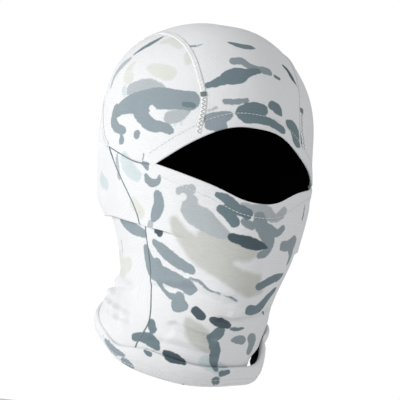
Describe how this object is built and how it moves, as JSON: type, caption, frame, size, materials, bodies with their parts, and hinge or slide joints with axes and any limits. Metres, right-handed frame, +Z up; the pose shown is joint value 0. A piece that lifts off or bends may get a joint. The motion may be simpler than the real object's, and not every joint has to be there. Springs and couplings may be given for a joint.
{
  "type": "camouflage face mask",
  "caption": "Knitted snow-camouflage balaclava with a wide eye opening, flat crown seams and a hemmed neck tube.",
  "frame": {"origin": "centre of the wearer's head, level with the corners of the eye opening", "axes": "+Z up, the face looks along -Y, +X is the wearer's left"},
  "size_m": [0.1624, 0.2141, 0.2784],
  "materials": {
    "camo_knit": "matt fine mesh knit printed with grey and slate snow camouflage",
    "seam_tape": "matt flat overlocked seam",
    "thread": "matt polyester sewing thread"
  },
  "bodies": {
    "hood": {"center_back_panel": "camo_knit", "crown_side_panel_right": "camo_knit", "crown_side_panel_left": "camo_knit", "front_panel": "camo_knit", "brow_hem": "camo_knit", "crown_seam_right": "seam_tape", "crown_seam_left": "seam_tape", "cap_seam_right": "seam_tape", "cap_seam_left": "seam_tape", "side_seam_right": "seam_tape", "side_seam_left": "seam_tape", "brow_hem_stitches": "thread", "crown_seam_stitches_right": "thread", "crown_seam_stitches_left": "thread", "brow_bar_tack_right": "thread", "brow_bar_tack_left": "thread", "corner_bar_tack_right": "thread", "corner_bar_tack_left": "thread"},
    "face_cover": {"face_cover_hem": "camo_knit", "face_cover_hem_stitches": "thread"},
    "neck_collar": {"neck_hem": "camo_knit", "neck_hem_stitches_lower": "thread", "neck_hem_stitches_upper": "thread"}
  },
  "joints": [
    {"name": "face_cover_pull_down", "type": "slide", "parent": "hood", "child": "face_cover", "axis": [0, 0.2588, -0.9659], "range_m": [0, 0.062], "deforming": ["front_panel"]},
    {"name": "neck_tube_pull", "type": "slide", "parent": "hood", "child": "neck_collar", "axis": [0, 0, -1], "range_m": [-0.015, 0.025], "deforming": ["front_panel", "center_back_panel", "side_seam_right", "side_seam_left"]}
  ]
}
